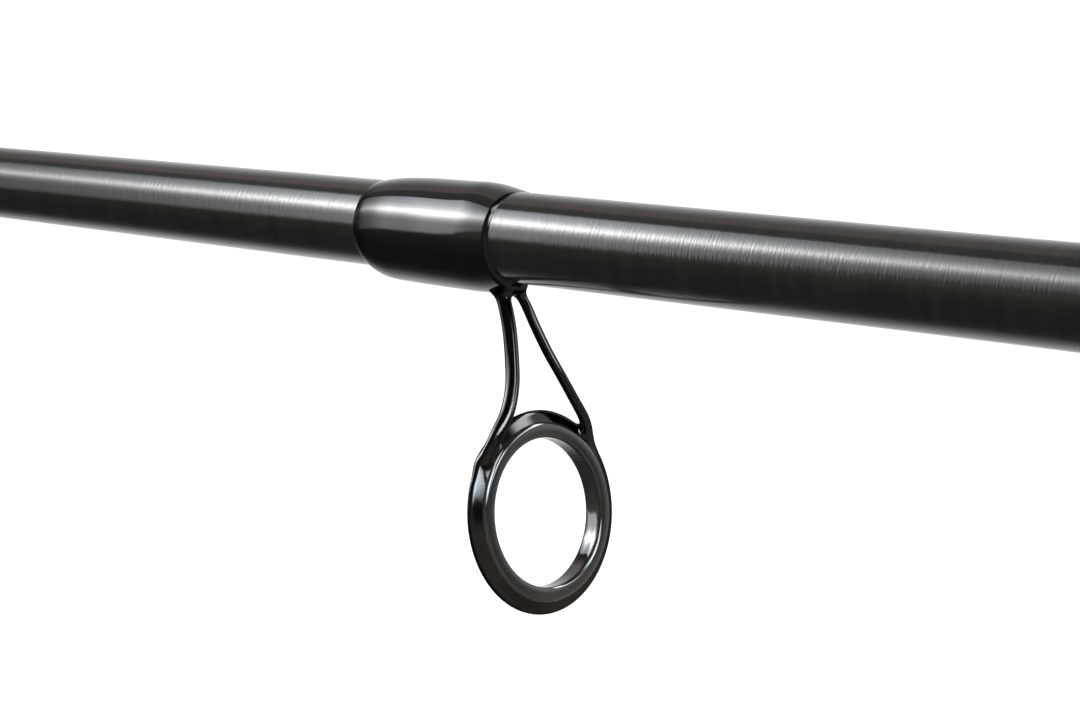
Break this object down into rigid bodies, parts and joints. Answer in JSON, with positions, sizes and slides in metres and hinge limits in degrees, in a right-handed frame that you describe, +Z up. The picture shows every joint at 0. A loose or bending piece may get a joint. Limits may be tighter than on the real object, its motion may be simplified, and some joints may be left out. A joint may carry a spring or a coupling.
{
  "type": "spinning rod",
  "caption": "Two-piece spinning rod with a tapered black blank, ringed guides hanging below it, cork grips and a screw-locking reel seat.",
  "frame": {"origin": "centre of the butt cap's flat end face", "axes": "+X along the rod from butt to tip, +Z up with the guides and the reel's foot hanging towards -Z, +Y to the left when looking from the butt to the tip"},
  "size_m": [1.8024, 0.029, 0.0618],
  "materials": {
    "blank": "satin black carbon composite with fine turned lines",
    "wrap": "black thread under thick glossy epoxy",
    "guide_metal": "black chrome",
    "ceramic": "polished dark grey ceramic",
    "cork": "sanded natural cork",
    "dark_metal": "gunmetal anodised",
    "seat_plastic": "moulded satin",
    "rubber": "matt",
    "arbor_foam": "matt foam"
  },
  "bodies": {
    "butt_section": {"butt_blank": "blank", "butt_cap": "rubber", "fixed_hood": "dark_metal", "foregrip": "cork", "front_winding_check": "dark_metal", "handle_wrap": "wrap", "hook_keeper": "guide_metal", "hook_keeper_front_wrap": "wrap", "hook_keeper_rear_wrap": "wrap", "index_wrap": "wrap", "middle_grip": "cork", "middle_winding_check": "dark_metal", "rear_grip": "cork", "rear_winding_check": "dark_metal", "reel_seat_body": "seat_plastic", "seat_arbor_front": "arbor_foam", "seat_arbor_middle": "arbor_foam", "seat_arbor_rear": "arbor_foam", "seat_trim_ring": "dark_metal", "stripper_guide_frame": "guide_metal", "stripper_guide_ring": "ceramic", "stripper_guide_wrap": "wrap", "stripper_rear_wrap": "wrap"},
    "tip_section": {"tip_blank": "blank", "ferrule_wrap": "wrap", "tip_top_frame": "guide_metal", "tip_top_ring": "ceramic", "tip_top_wrap": "wrap", "second_guide_frame": "guide_metal", "second_guide_ring": "ceramic", "second_guide_wrap": "wrap", "third_guide_frame": "guide_metal", "third_guide_ring": "ceramic", "third_guide_wrap": "wrap", "fourth_guide_frame": "guide_metal", "fourth_guide_ring": "ceramic", "fourth_guide_wrap": "wrap", "fifth_guide_frame": "guide_metal", "fifth_guide_ring": "ceramic", "fifth_guide_wrap": "wrap", "sixth_guide_frame": "guide_metal", "sixth_guide_ring": "ceramic", "sixth_guide_wrap": "wrap"},
    "sliding_hood": {"sliding_hood": "dark_metal"},
    "lock_nut": {"lock_nut": "seat_plastic", "nut_trim_ring": "dark_metal"}
  },
  "joints": [
    {"name": "ferrule_pull", "type": "slide", "parent": "butt_section", "child": "tip_section", "axis": [1, 0, 0], "range_m": [0, 0.07]},
    {"name": "hood_slide", "type": "slide", "parent": "butt_section", "child": "sliding_hood", "axis": [1, 0, 0], "range_m": [0, 0.03]},
    {"name": "nut_turn", "type": "hinge", "parent": "sliding_hood", "child": "lock_nut", "pos_m": [0.2545, 0, 0], "axis": [1, 0, 0], "range_deg": [0, 3600]}
  ],
  "couplings": [
    {"joint": "nut_turn", "follows": "hood_slide", "rad_per_m": 2094.4}
  ]
}
